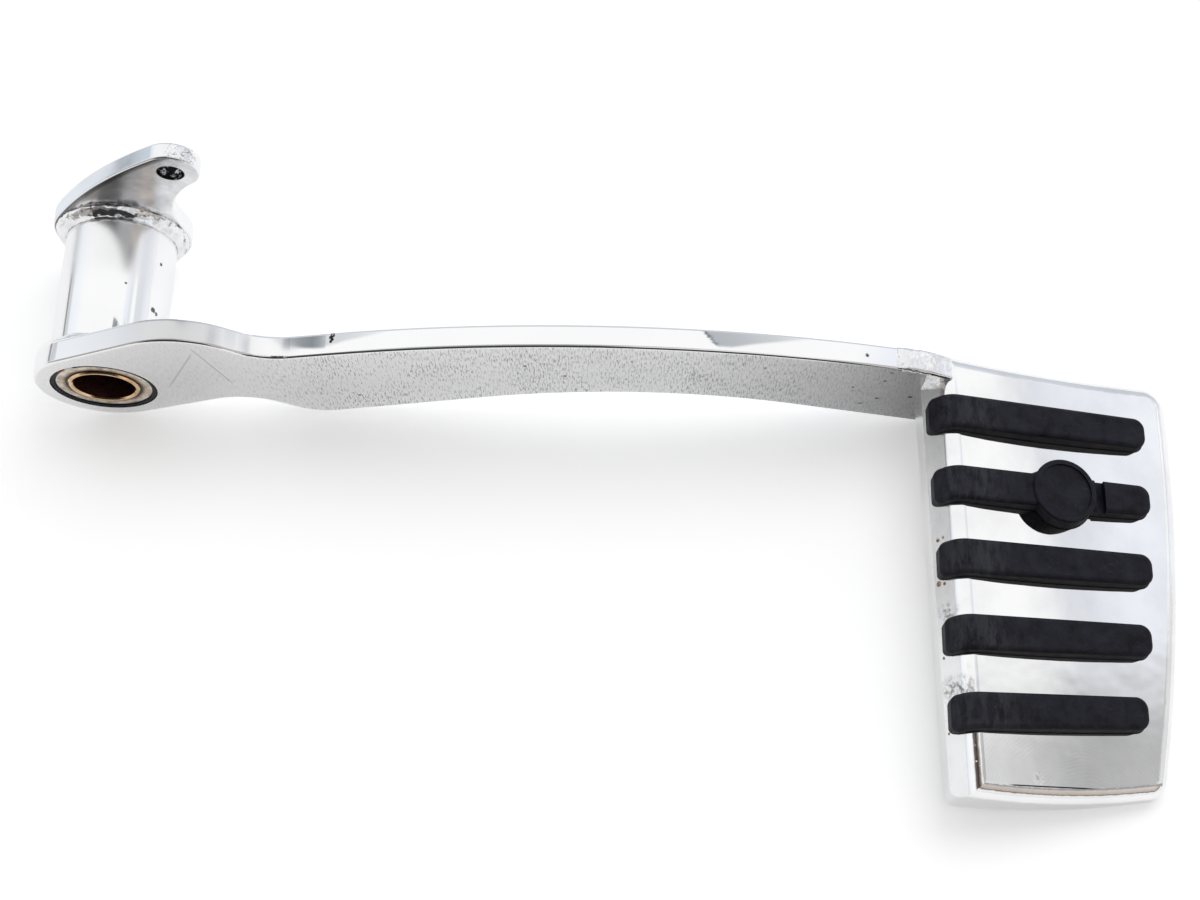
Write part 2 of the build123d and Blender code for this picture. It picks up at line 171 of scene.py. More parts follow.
def between(tree, value, span, unit=1.0, kind="SMOOTHSTEP"):
    # 0 where the span starts and 1 where it ends; a span may run downwards
    made = addNode(tree, "ShaderNodeMapRange", {"interpolation_type": kind, "clamp": True},
                   {"From Min": span[0] * unit, "From Max": span[1] * unit})
    join(tree, value, (made, "Value"))
    return (made, "Result")


def along(tree, value, span, stops, unit=1.0):
    # a ramp over a span of the value; span and stops are in the given unit
    low, high = span
    placed = [((at - low) / (high - low), colour) for at, colour in stops]
    return ramp(tree, between(tree, value, span, unit, "LINEAR"), placed)


def nearPoint(tree, place, centre, reach):
    # 1 within the first reach of a point and 0 past the second, all in mm
    made = addNode(tree, "ShaderNodeVectorMath", {"operation": "DISTANCE"})
    join(tree, place, (made, 0))
    made.inputs[1].default_value = [c * mm for c in centre]
    return between(tree, (made, "Value"), reach[::-1], mm)


def axisDistance(tree, first, second, centre=(0.0, 0.0)):
    # distance from a line through centre (mm), from two of the place's parts
    squares = [maths(tree, "POWER", maths(tree, "SUBTRACT", part, at * mm), 2.0)
               for part, at in zip((first, second), centre)]
    return maths(tree, "SQRT", maths(tree, "ADD", *squares))


# where a dot's soft rim starts, as a share of its size, and how softly its cell is picked
dotShape = {"core": 0.6, "pick": 0.96}


def dots(tree, place, scale, size, share):
    # sparse round marks, only in this share of the cells
    cell = addNode(tree, "ShaderNodeTexVoronoi", values={"Scale": scale})
    join(tree, place, (cell, "Vector"))
    pick = addNode(tree, "ShaderNodeSeparateColor")
    join(tree, (cell, "Color"), (pick, "Color"))
    return times(tree, between(tree, (cell, "Distance"), (size, dotShape["core"] * size)),
                 between(tree, (pick, "Red"), (share, dotShape["pick"] * share)))


# shares of a scratch's length where it is all there and where it starts to fade, and its core's width
scratchShape = {"fadedIn": 0.1, "fadesOut": 0.8, "core": 0.5}


def scratched(tree, first, second, start, end, width):
    # 1 along a straight scratch, its ends in mm in the plane of two of the place's parts
    run = Vector(end) - Vector(start)
    ux, uy = run.normalized()
    a = maths(tree, "SUBTRACT", first, start[0] * mm)
    b = maths(tree, "SUBTRACT", second, start[1] * mm)
    down = maths(tree, "MULTIPLY_ADD", b, uy, times(tree, a, ux))
    aside = maths(tree, "MULTIPLY_ADD", b, -ux, times(tree, a, uy))
    fadeIn = between(tree, down, (0.0, scratchShape["fadedIn"] * run.length), mm)
    fadeOut = between(tree, down, (run.length, scratchShape["fadesOut"] * run.length), mm)
    line = between(tree, maths(tree, "ABSOLUTE", aside), (width, scratchShape["core"] * width), mm)
    return times(tree, line, fadeIn, fadeOut)


# a mark's reach as shares of its size, and the noise that frays it
markShape = {"reach": (0.7, 1.2), "fray": (1800.0, 2.0), "frayTones": [(0.32, 0.0), (0.42, 1.0)]}


def marks(tree, place, places):
    # small ragged pits at given places, each (x, y, z, size) in mm
    spots = [nearPoint(tree, place, (x, y, z), scaled(markShape["reach"], size))
             for x, y, z, size in places]
    frayed = ramp(tree, noise(tree, place, *markShape["fray"]), markShape["frayTones"])
    return times(tree, greatest(tree, *spots), frayed)


def dress(material, *names):
    for name in names:
        cadNodes[name].data.materials.clear()
        cadNodes[name].data.materials.append(material)


# Camera at the photo's angle
cameraView = {
    "place": (132.5 * mm, -182.661 * mm, 430.621 * mm),
    "forward": (-0.006736, 0.362664, -0.931896),
    "right": (0.999828, 0.018569, 0.0),
    "lens": 54.0,
    "sensor": 36.0,
    "nearClip": 0.01,
}


def addCamera():
    spec = cameraView
    data = bpy.data.cameras.new("photoCamera")
    data.lens = spec["lens"]
    data.sensor_width = spec["sensor"]
    data.clip_start = spec["nearClip"]
    back = -Vector(spec["forward"])
    right = Vector(spec["right"])
    up = back.cross(right)
    turn = Matrix((right, up, back)).transposed().to_4x4()
    camera = bpy.data.objects.new("photoCamera", data)
    camera.matrix_world = Matrix.Translation(spec["place"]) @ turn
    bpy.context.scene.collection.objects.link(camera)
    bpy.context.scene.camera = camera


# White floor through the three points that the pedal rests on
floorSpec = {
    "eyeRest": (0.18 * mm, 0.8 * mm, -17.8 * mm),
    "barRest": (214.95 * mm, 0.8 * mm, -13.42 * mm),
    "padRest": (267.17 * mm, -98.87 * mm, -7.1 * mm),
    "size": 6.0,
    "colour": 0.86, "rough": 0.9, "shine": 0.1,
    "grain": (900.0, 4.0, 0.7), "grainTones": [(0.3, 0.95), (0.6, 1.0)],
    "seenGlow": 0.43,
    "mirroredGlow": 0.32,
}


def addFloor():
    spec = floorSpec
    eye = Vector(spec["eyeRest"])
    normal = (Vector(spec["padRest"]) - eye).cross(Vector(spec["barRest"]) - eye)
    normal.normalize()
    bpy.ops.object.select_all(action="DESELECT")
    bpy.ops.mesh.primitive_plane_add(size=spec["size"], location=eye)
    floor = bpy.context.object
    floor.name = "floor"
    floor.rotation_euler = normal.to_track_quat("Z", "Y").to_euler()
    material, tree, shader = startMaterial("floorWhite")
    grain = ramp(tree, noise(tree, objectPlace(tree), *spec["grain"]), spec["grainTones"])
    tone = mixColour(tree, 1.0, grain, grey(spec["colour"]), "MULTIPLY")
    join(tree, tone, (shader, "Base Color"))
    shader.inputs["Roughness"].default_value = spec["rough"]
    shader.inputs["Specular IOR Level"].default_value = spec["shine"]
    path = addNode(tree, "ShaderNodeLightPath")
    mirrored = greatest(tree, (path, "Is Glossy Ray"), (path, "Is Transmission Ray"))
    glow = times(tree, (path, "Is Camera Ray"), spec["seenGlow"])
    glow = maths(tree, "MULTIPLY_ADD", mirrored, spec["mirroredGlow"], glow)
    shader.inputs["Emission Color"].default_value = (*white, 1.0)
    join(tree, glow, (shader, "Emission Strength"))
    floor.data.materials.append(material)


# Soft studio: a white room, greyer to the right and far behind, dark on the viewer's side.
# An area has one tone or a ramp along an axis of the room, and lies within soft limits.
# The areas in over are painted on it in turn
brightPart = {"within": [("x", (0.68, 0.73)), ("z", (0.44, 0.50))], "tone": white}
outboardGrey = {
    "within": [("y", (0.265, 0.20)), ("x", (0.42, 0.58))],
    "axis": "x", "span": (0.5, 0.9),
    "stops": [(0.58, 0.54), (0.70, 0.47), (0.75, 0.60), (0.81, 0.78)],
}
leftLow = {
    "within": [("z", (0.06, 0.03))],
    "axis": "y", "span": (0.1, 0.5),
    "stops": [(0.20, 0.96), (0.235, 0.90), (0.275, 0.72), (0.33, 0.42), (0.37, 0.36)],
}
leftWall = {
    "within": [("x", (-0.62, -0.80))],
    "axis": "z", "span": (-0.2, 0.7),
    "stops": [(-0.2, 1.0), (0.03, 1.0), (0.08, (0.58, 0.62, 0.66)), (0.13, (0.64, 0.68, 0.72)),
              (0.20, (0.90, 0.93, 0.97)), (0.45, (0.95, 0.97, 1.0)), (0.62, 1.0)],
    "over": [leftLow],
}
inboardGrey = {"within": [("y", (0.52, 0.66))], "tone": (0.62, 0.66, 0.70)}
# a dark strip that the pad's crease shows outboard of the last rib
creaseStrip = {
    "within": [("y", (0.220, 0.206)), ("y", (0.06, 0.12)), ("x", (-0.56, -0.52)), ("x", (0.46, 0.42))],
    "axis": "x", "span": (-0.6, 0.5),
    "stops": [(-0.52, 1.0), (-0.36, (0.16, 0.13, 0.12)), (-0.05, (0.04, 0.035, 0.03)),
              (0.20, (0.30, 0.25, 0.22)), (0.42, 1.0)],
}
viewerLeft = {"within": [("x", (-0.58, -0.74))], "tone": (0.42, 0.40, 0.38)}
viewerMiddle = {"within": [("x", (0.0, 0.10)), ("y", (-0.53, -0.48))], "tone": (0.74, 0.74, 0.75)}
viewerEdge = {"within": [("x", (0.42, 0.54))], "tone": (0.36, 0.35, 0.35)}
viewerRight = {
    "within": [("x", (0.47, 0.56)), ("y", (-0.17, -0.26))],
    "axis": "z", "span": (0.0, 0.9),
    "stops": [(0.0, 0.80), (0.14, (0.93, 0.91, 0.89)), (0.24, (0.90, 0.87, 0.84)),
              (0.32, (0.16, 0.13, 0.11)), (0.42, (0.50, 0.44, 0.40)), (0.66, (0.66, 0.61, 0.57))],
}
viewerLow = {"within": [("z", (0.09, 0.02))], "tone": grey(0.46)}
viewerSide = {
    "within": [("y", (-0.02, -0.09))],
    "axis": "y", "span": (-1.0, 0.0),
    "stops": [(-0.95, 0.035), (-0.56, 0.035), (-0.47, 0.16), (-0.30, 0.15), (-0.12, 0.24)],
    "over": [viewerLeft, viewerMiddle, viewerEdge, viewerRight, viewerLow],
}
room = {
    "axis": "x", "span": (-1.0, 1.0),
    "stops": [(0.51, 1.0), (0.57, (0.895, 0.92, 0.97)), (0.62, (0.876, 0.90, 0.95)),
              (0.68, (0.78, 0.80, 0.845)), (0.86, (0.74, 0.76, 0.80)), (0.92, (0.925, 0.95, 1.0))],
    "over": [brightPart, outboardGrey, leftWall, inboardGrey, creaseStrip, viewerSide],
}
studio = {
    "strength": 1.0,
    "lampPlace": (0.45, 0.42, 0.88),
    "lampAim": (0.13, -0.03, 0.0),
    "lampSize": 0.8,
    "lampWatts": 2.5,
}


def paintArea(tree, parts, area):
    if "tone" in area:
        return area["tone"]
    tone = along(tree, parts[area["axis"]], area["span"], area["stops"])
    for over in area.get("over", []):
        share = times(tree, *(between(tree, parts[axis], limits) for axis, limits in over["within"]))
        tone = mixColour(tree, share, tone, paintArea(tree, parts, over))
    return tone


def addStudio():
    spec = studio
    world = bpy.data.worlds.new("studioRoom")
    bpy.context.scene.world = world
    world.use_nodes = True
    tree = world.node_tree
    background = tree.nodes["Background"]
    direction = (addNode(tree, "ShaderNodeTexCoord"), "Generated")
    tone = paintArea(tree, dict(zip("xyz", axisParts(tree, direction))), room)
    path = addNode(tree, "ShaderNodeLightPath")
    tone = mixColour(tree, (path, "Is Camera Ray"), tone, white)
    join(tree, tone, (background, "Color"))
    background.inputs["Strength"].default_value = spec["strength"]
    lamp = bpy.data.lights.new("softLamp", "AREA")
    lamp.shape = "DISK"
    lamp.size = spec["lampSize"]
    lamp.energy = spec["lampWatts"]
    holder = bpy.data.objects.new("softLamp", lamp)
    aim = Vector(spec["lampAim"]) - Vector(spec["lampPlace"])
    holder.rotation_euler = aim.to_track_quat("-Z", "Y").to_euler()
    holder.location = spec["lampPlace"]
    holder.visible_glossy = False
    bpy.context.scene.collection.objects.link(holder)


# Two grey cards that only mirrors see: their reflections make the dark patches on the bar's polished top.
# edge is where each card's dark part begins across it, tone runs along it, both in mm on the card
cards = {
    "endCard": {
        "place": (252.6, 119.7, 244.2), "aim": (168.0, 4.2, 37.4),
        "low": (-60.0, -36.0), "high": (66.0, 26.5),
        "edge": [(-56.0, -30.0), (-18.6, -26.5), (1.0, -11.4), (30.8, 8.8), (48.2, 24.9)],
        "tone": [(-41.6, 1.0), (-40.6, 0.12), (-39.7, 0.16), (-37.7, 0.52), (-20.0, 0.56), (18.8, 0.70),
                 (51.5, 0.90), (64.7, 1.0)],
        "lean": 0.398, "soft": (-2.0, 7.0), "wobble": 9.0, "wobbleGrain": (220.0, 2.0),
    },
    "neckCard": {
        "place": (33.6, 30.4, 68.0), "aim": (64.0, 4.2, 23.4),
        "low": (-18.0, -9.0), "high": (32.0, 9.0),
        "edge": [(-15.0, -1.6), (-12.3, -3.2), (-9.0, -4.6), (-6.5, -5.2), (-2.2, -4.4), (2.5, -2.8),
                 (14.9, -0.7), (27.6, 2.3)],
        "tone": [(-17.0, 0.42), (-12.6, 0.36), (-8.6, 0.30), (-6.5, 0.40), (-3.4, 0.74), (-1.6, 0.77),
                 (0.0, 0.72), (8.9, 0.80), (24.1, 0.97), (30.3, 1.0)],
        "lean": -0.186, "soft": (-0.6, 2.2), "wobble": 1.6, "wobbleGrain": (300.0, 2.0),
    },
}
cardBlue = (0.80, 0.90, 1.0)
edgeSpan = 100.0


def endsOf(stops):
    return stops[0][0], stops[-1][0]


def cardPattern(tree, spec):
    spot = objectPlace(tree)
    u, v, _ = axisParts(tree, spot)
    # a ramp holds nothing below 0, so the edge is a share of a span around the card's middle
    shares = [(at, 0.5 + far / edgeSpan) for at, far in spec["edge"]]
    edge = along(tree, u, endsOf(shares), shares, mm)
    edge = maths(tree, "MULTIPLY_ADD", edge, edgeSpan * mm, -0.5 * edgeSpan * mm)
    inside = between(tree, maths(tree, "SUBTRACT", v, edge), spec["soft"], mm)
    run = maths(tree, "MULTIPLY_ADD", v, spec["lean"], u)
    wobble = maths(tree, "SUBTRACT", noise(tree, spot, *spec["wobbleGrain"]), 0.5)
    run = maths(tree, "MULTIPLY_ADD", wobble, spec["wobble"] * mm, run)
    tone = along(tree, run, endsOf(spec["tone"]), spec["tone"], mm)
    tone = mixColour(tree, inside, white, tone)
    return tinted(tree, maths(tree, "SUBTRACT", 1.0, tone), tone, cardBlue)


def addCard(name):
    spec = cards[name]
    place = Vector(spec["place"]) * mm
    out = (place - Vector(spec["aim"]) * mm).normalized()
    side = Vector((1.0, 0.0, 0.0))
    side = (side - side.dot(out) * out).normalized()
    turn = Matrix((side, out.cross(side), out)).transposed().to_4x4()
    low, high = Vector(spec["low"]) * mm, Vector(spec["high"]) * mm
    bpy.ops.object.select_all(action="DESELECT")
    bpy.ops.mesh.primitive_plane_add(size=1.0)
    card = bpy.context.object
    card.name = name
    card.scale = (*(high - low), 1.0)
    card.location = (*((low + high) / 2), 0.0)
    bpy.ops.object.transform_apply(location=True, rotation=False, scale=True)
    card.matrix_world = Matrix.Translation(place) @ turn
    material, tree, shader = startMaterial(name)
    shader.inputs["Base Color"].default_value = (*black, 1.0)
    shader.inputs["Specular IOR Level"].default_value = 0.0
    shader.inputs["Emission Strength"].default_value = 1.0
    join(tree, cardPattern(tree, spec), (shader, "Emission Color"))
    card.data.materials.append(material)
    card.visible_camera = False
    card.visible_diffuse = False
    card.visible_shadow = False


addCamera()
addFloor()
addStudio()
for name in cards:
    addCard(name)
print("camera, floor and light ready")


# In every finish below a noise is (scale, detail, roughness, distortion) with the last ones often left
# out, a relief is (strength, depth in mm), a turn is a span of the surface normal, and lengths are in mm
platingLook = {
    "cloudDetail": 4.0, "cloudStops": (0.3, 0.62),
    "pitTone": (0.10, 0.09, 0.08), "pitRelief": (0.5, 0.06),
    "haze": (150.0, 5.0, 0.65), "hazeStops": (0.3, 0.75),
    "rippleDetail": 2.0,
}


def plating(tree, place, spec):
    # colour, roughness and relief that all the plated pieces share
    look = platingLook
    cloud = noise(tree, place, spec["cloudScale"], look["cloudDetail"])
    colour = ramp(tree, cloud, shades(spec["tone"], zip(look["cloudStops"], (spec["cloudDim"], 1.0))))
    pits = dots(tree, place, spec["pitScale"], spec["pitSize"], spec["pitShare"])
    colour = mixColour(tree, pits, colour, look["pitTone"])
    haze = noise(tree, place, *look["haze"])
    rough = ramp(tree, haze, list(zip(look["hazeStops"], (spec["roughLow"], spec["roughHigh"]))))
    ripple = noise(tree, place, spec["rippleScale"], look["rippleDetail"])
    ripple = bump(tree, ripple, 1.0, spec["rippleHeight"])
    return colour, rough, bump(tree, pits, *look["pitRelief"], under=ripple, sunk=True)


def joinSurface(tree, shader, colour, rough, relief):
    join(tree, colour, (shader, "Base Color"))
    join(tree, rough, (shader, "Roughness"))
    join(tree, relief, (shader, "Normal"))


def finishPlating(tree, shader, colour, rough, relief):
    shader.inputs["Metallic"].default_value = 1.0
    joinSurface(tree, shader, colour, rough, relief)


def finishRubber(tree, shader, colour, rough, relief, shine):
    shader.inputs["Specular IOR Level"].default_value = shine
    joinSurface(tree, shader, colour, rough, relief)


# Lever bar: polished top with a painted grey reflection on the hump, and a scratched outboard face with
# painted speckle for the reflected floor grain and painted shade that dims it at its ends
barFinish = {
    "tone": (0.955, 0.957, 0.962), "cloudScale": 45.0, "cloudDim": 0.98,
    "roughLow": 0.02, "roughHigh": 0.06,
    "pitScale": 170.0, "pitSize": 0.05, "pitShare": 0.10,
    "rippleScale": 40.0, "rippleHeight": 0.015,
    "faceTurn": (-0.85, -0.97), "topTurn": (0.70, 0.90),
    "length": (-18, 211),
    # speck is a painted speckle that stands for the floor's grain seen in the outboard face
    "speck": (2600.0, 3.0, 0.7), "speckStretch": (1.0, 1.0, 0.15),
    "speckTones": [(0.34, 0.22), (0.52, 1.0)],
    "speckShare": [(-18, 0.15), (38, 0.30), (60, 1.0), (165, 1.0), (200, 0.7)],
    "patch": (75.0, 3.0, 0.6), "patchTones": [(0.36, 0.45), (0.62, 1.0)],
    # painted shade that dims the outboard face towards its ends, where it mirrors shaded floor
    "facePaintedShade": [(-18, 0.95), (25, 0.84), (45, 0.92), (68, 1.0), (110, 0.93), (150, 0.88), (175, 0.70),
                  (192, 0.56), (210, 0.38)],
    # a painted grey reflection on the top over the hump
    "topPaintedReflection": [(-18, 0.98), (-4, 0.95), (8, 0.86), (16, 0.76), (30, 0.77), (39, 0.92), (46, 1.0)],
    "humpHaze": [(4, 0.0), (16, 1.0), (38, 1.0), (46, 0.55), (52, 0.55), (55, 0.0)], "humpRough": 0.24,
    "scratches": [((27.7, 25.8), (34.9, 2.4)), ((27.8, 22.8), (16.6, -0.3))],
    "scratchWidth": 0.30, "scratchTone": grey(0.60),
    "smudge": (153.1, 0, 14.5), "smudgeReach": (1.0, 6.5), "smudgeTone": grey(0.22),
    "smear": (900.0, 3.0, 0.7), "smearTones": [(0.40, 0.6), (0.48, 0.0)],
    "marks": [(66.4, 0, -2.1, 0.45), (120.2, 0, 12.5, 0.5), (110.3, 0, 18.3, 0.5), (170.3, 0, 19.6, 0.45),
              (202.2, 0, 17.9, 0.5), (196.8, 0, -1.8, 0.5), (193.6, 0, 8.6, 0.45), (200.7, 0, 1.7, 0.55),
              (209.1, 0, 2.8, 0.7), (201.2, 0, 12.8, 0.5), (195.7, 2.9, 22.4, 0.7),
              (62.4, 5.4, 23.0, 0.65), (62.0, 4.8, 22.9, 0.55), (62.3, 4.3, 23.0, 0.5),
              (62.0, 3.7, 22.9, 0.4)],
    "markTone": grey(0.03), "markRelief": (0.6, 0.10),
    "thickness": 6.35, "topCrown": 7.0, "crownRelief": (1.0, 1000.0),
}


def addBarFinish():
    spec = barFinish
    material, tree, shader = startMaterial("barPlating")
    place = objectPlace(tree)
    colour, rough, relief = plating(tree, place, spec)
    x, y, z = axisParts(tree, place)
    _, ny, nz = facing(tree)
    outboard = between(tree, ny, spec["faceTurn"])
    top = between(tree, nz, spec["topTurn"])
    share, paintedFaceShade, tint, haze = [along(tree, x, spec["length"], spec[key], mm)
                                for key in ("speckShare", "facePaintedShade", "topPaintedReflection", "humpHaze")]
    # painted speckle for the reflected floor grain over painted shade along the face, then scratches and
    # a smudge on the outboard face
    upright = stretched(tree, place, spec["speckStretch"])
    reflectedSpecks = ramp(tree, noise(tree, upright, *spec["speck"]), spec["speckTones"])
    patches = ramp(tree, noise(tree, place, *spec["patch"]), spec["patchTones"])
    face = mixColour(tree, times(tree, share, patches), paintedFaceShade, reflectedSpecks, "MULTIPLY")
    for start, end in spec["scratches"]:
        scratch = scratched(tree, x, z, start, end, spec["scratchWidth"])
        face = mixColour(tree, scratch, face, spec["scratchTone"])
    smear = ramp(tree, noise(tree, upright, *spec["smear"]), spec["smearTones"])
    smudge = times(tree, nearPoint(tree, place, spec["smudge"], spec["smudgeReach"]), smear)
    face = mixColour(tree, smudge, face, spec["smudgeTone"])
    colour = tinted(tree, outboard, colour, face)
    # the top gets a painted grey reflection and is hazier on the hump
    colour = tinted(tree, top, colour, tint)
    rough = mixColour(tree, times(tree, haze, top), rough, grey(spec["humpRough"]))
    pitted = marks(tree, place, spec["marks"])
    colour = mixColour(tree, pitted, colour, spec["markTone"])
    relief = bump(tree, pitted, *spec["markRelief"], under=relief, sunk=True)
    # the polished top is a little crowned across the bar; this rise is already in metres
    rise = maths(tree, "POWER", maths(tree, "SUBTRACT", y, 0.5 * spec["thickness"] * mm), 2.0)
    rise = times(tree, rise, spec["topCrown"])
    relief = bump(tree, rise, *spec["crownRelief"], under=relief, sunk=True)
    finishPlating(tree, shader, colour, rough, relief)
    return material


# Pivot tube: bright barrel, and a stained raw land around the bush at each end, painted dark next to the
# bush as shade in the gap
tubeFinish = {
    "tone": (0.955, 0.957, 0.962), "cloudScale": 60.0, "cloudDim": 0.97,
    "roughLow": 0.03, "roughHigh": 0.07,
    "pitScale": 230.0, "pitSize": 0.06, "pitShare": 0.12,
    "rippleScale": 60.0, "rippleHeight": 0.02,
    "hazeSpan": (20.0, 31.0), "hazeRough": 0.26,
    "marks": [(12.4, 18.9, 7.4, 0.8), (13.0, 18.3, 6.3, 0.6), (6.2, 23.8, 13.1, 0.35),
              (12.9, 32.6, 6.6, 0.5)],
    "markTone": (0.12, 0.12, 0.13),
    "endTurn": (0.8, 0.95), "endRough": 0.34,
    "landSpan": (9.0, 13.0),
    # the land's first stops are painted shade in the gap by the bush
    "land": [(9.2, (0.010, 0.009, 0.008)), (9.75, (0.05, 0.045, 0.035)), (10.15, (0.40, 0.35, 0.28)),
             (10.8, (0.80, 0.70, 0.58)), (11.8, (0.88, 0.82, 0.74)), (12.2, (0.95, 0.93, 0.90))],
    "stain": (420.0, 4.0, 0.7), "stainShare": 0.85,
    "stainTones": [(0.35, (0.36, 0.31, 0.27)), (0.6, (0.95, 0.92, 0.88))],
    # insideShade is painted shade on the tube's inside wall
    "insideRadius": (11.5, 11.0), "insideTurn": (0.6, 0.4), "insideShade": (0.06, 0.055, 0.05),
}


def addTubeFinish():
    spec = tubeFinish
    material, tree, shader = startMaterial("tubePlating")
    place = objectPlace(tree)
    colour, rough, relief = plating(tree, place, spec)
    colour = mixColour(tree, marks(tree, place, spec["marks"]), colour, spec["markTone"])
    x, y, z = axisParts(tree, place)
    _, ny, _ = facing(tree)
    endOn = maths(tree, "ABSOLUTE", ny)
    haze = between(tree, y, spec["hazeSpan"], mm)
    rough = mixColour(tree, haze, rough, grey(spec["hazeRough"]))
    # stained land on the end faces, painted dark at its inner edge as shade in the gap by the bush
    end = between(tree, endOn, spec["endTurn"])
    radius = axisDistance(tree, x, z)
    land = along(tree, radius, spec["landSpan"], spec["land"], mm)
    stain = ramp(tree, noise(tree, place, *spec["stain"]), spec["stainTones"])
    land = mixColour(tree, spec["stainShare"], land, stain, "MULTIPLY")
    colour = mixColour(tree, end, colour, land)
    rough = mixColour(tree, end, rough, grey(spec["endRough"]))
    # painted shade on the tube's inside wall
    inside = between(tree, radius, spec["insideRadius"], mm)
    inside = times(tree, inside, between(tree, endOn, spec["insideTurn"]))
    colour = mixColour(tree, inside, colour, spec["insideShade"])
    finishPlating(tree, shader, colour, rough, relief)
    return material


# Crank plate: a painted dark reflection line under the bowed back, a painted cool reflection on the band
# along the back, an etched tip, and painted shade with painted glints in the rod hole
crankFinish = {
    "tone": (0.95, 0.952, 0.957), "cloudScale": 80.0, "cloudDim": 0.95,
    "roughLow": 0.12, "roughHigh": 0.26,
    "pitScale": 300.0, "pitSize": 0.06, "pitShare": 0.08,
    "rippleScale": 90.0, "rippleHeight": 0.03,
    "faceTurn": (-0.80, -0.95),
    "backCentre": (68.1, -45.3), "backSpan": (80, 100),
    # a painted dark reflection line along the back of the outboard face
    "backReflectionLine": [(88.0, 1.0), (94.5, 0.92), (97.8, 0.74), (98.7, 0.30), (99.5, 0.14), (100.0, 0.6)],
    "shade": (130.0, 3.0, 0.6), "shadeTones": [(0.35, 0.75), (0.6, 1.0)],
    # a painted cool reflection on the band along the back
    "bandTurnX": (-0.35, -0.6), "bandTurnZ": (0.2, 0.4), "bandReflectionTint": (0.84, 0.89, 0.94),
    "tipCentre": (25.0, 46.0, 40.0), "tipReach": (2.0, 6.0),
    "etch": (700.0, 3.0, 0.7, 1.5), "etchTones": [(0.38, 0.8), (0.46, 0.0)],
    "etchTone": (0.36, 0.35, 0.34), "etchRelief": (0.4, 0.05),
    "holeCentre": (20.217, 34.051), "holeRadius": 3.45, "holeSoft": (0.12, 0.03), "holeRough": 0.4,
    # painted shade on the rod hole's wall, with painted glints
    "holeGlint": (700.0, 3.0, 0.7), "holeGlintTones": [(0.56, 0.012), (0.62, 0.75)],
}


def addCrankFinish():
    spec = crankFinish
    material, tree, shader = startMaterial("crankPlating")
    place = objectPlace(tree)
    colour, rough, relief = plating(tree, place, spec)
    x, _, z = axisParts(tree, place)
    nx, ny, nz = facing(tree)
    # painted dark reflection line on the outboard face, and a painted cooler reflection on the band along
    # the back
    fromBack = axisDistance(tree, x, z, spec["backCentre"])
    dark = along(tree, fromBack, spec["backSpan"], spec["backReflectionLine"], mm)
    shade = ramp(tree, noise(tree, place, *spec["shade"]), spec["shadeTones"])
    dark = mixColour(tree, 1.0, dark, shade, "MULTIPLY")
    colour = tinted(tree, between(tree, ny, spec["faceTurn"]), colour, dark)
    band = times(tree, between(tree, nx, spec["bandTurnX"]), between(tree, nz, spec["bandTurnZ"]))
    colour = tinted(tree, band, colour, spec["bandReflectionTint"])
    # etched patch on the tip
    etched = ramp(tree, noise(tree, place, *spec["etch"]), spec["etchTones"])
    etched = times(tree, nearPoint(tree, place, spec["tipCentre"], spec["tipReach"]), etched)
    colour = mixColour(tree, etched, colour, spec["etchTone"])
    relief = bump(tree, etched, *spec["etchRelief"], under=relief, sunk=True)
    # painted shade on the rod hole's wall with a few painted glints
    fromHole = axisDistance(tree, x, z, spec["holeCentre"])
    hole = between(tree, fromHole, [spec["holeRadius"] + soft for soft in spec["holeSoft"]], mm)
    holeGlints = ramp(tree, noise(tree, place, *spec["holeGlint"]), spec["holeGlintTones"])
    colour = mixColour(tree, hole, colour, holeGlints)
    rough = mixColour(tree, hole, rough, grey(spec["holeRough"]))
    finishPlating(tree, shader, colour, rough, relief)
    return material


# Bronze bush: bright turned rim, and a bore painted dark brown as shade
bushFinish = {
    "stain": (330.0, 5.0, 0.7),
    "rimTurn": (0.25, 0.6), "rimRough": 0.16,
    "rim": [(0.3, (0.50, 0.27, 0.12)), (0.5, (0.80, 0.52, 0.29)), (0.72, (0.95, 0.74, 0.50))],
    # the bore is painted dark as shade inside the bush
    "shadedBore": [(0.35, (0.05, 0.020, 0.022)), (0.55, (0.17, 0.070, 0.060)), (0.75, (0.42, 0.20, 0.13))],
    "boreRough": [(0.3, 0.55), (0.7, 0.35)],
    "turning": (260.0, 3.0), "turningStretch": (1.0, 12.0, 1.0), "turningRelief": (0.25, 0.04),
}


def addBushFinish():
    spec = bushFinish
    material, tree, shader = startMaterial("bushBronze")
    place = objectPlace(tree)
    _, ny, _ = facing(tree)
    rim = between(tree, maths(tree, "ABSOLUTE", ny), spec["rimTurn"])
    stain = noise(tree, place, *spec["stain"])
    colour = mixColour(tree, rim, ramp(tree, stain, spec["shadedBore"]), ramp(tree, stain, spec["rim"]))
    rough = mixColour(tree, rim, ramp(tree, stain, spec["boreRough"]), grey(spec["rimRough"]))
    turning = noise(tree, stretched(tree, place, spec["turningStretch"]), *spec["turning"])
    finishPlating(tree, shader, colour, rough, bump(tree, turning, *spec["turningRelief"]))
    return material


# Seal ring: black rubber, with a small pale spot and rust on the outboard one
sealFinish = {
    "tone": (0.006, 0.006, 0.0065), "toneShares": [(0.3, 0.6), (0.75, 1.6)],
    "mottle": (700.0, 4.0, 0.7), "mottleRelief": (0.3, 0.05),
    "rough": [(0.3, 0.45), (0.7, 0.62)], "shine": 0.25,
    "rustPlace": (-8.6, 0.3, 10.2), "rustReach": (0.8, 2.4),
    "rustTones": [(0.36, 0.0), (0.46, 1.0)], "rustTone": (0.33, 0.11, 0.05),
    "dropPlace": (-6.3, 0.3, 11.6), "dropReach": (1.1, 1.6), "dropTone": (0.88, 0.88, 0.87),
}


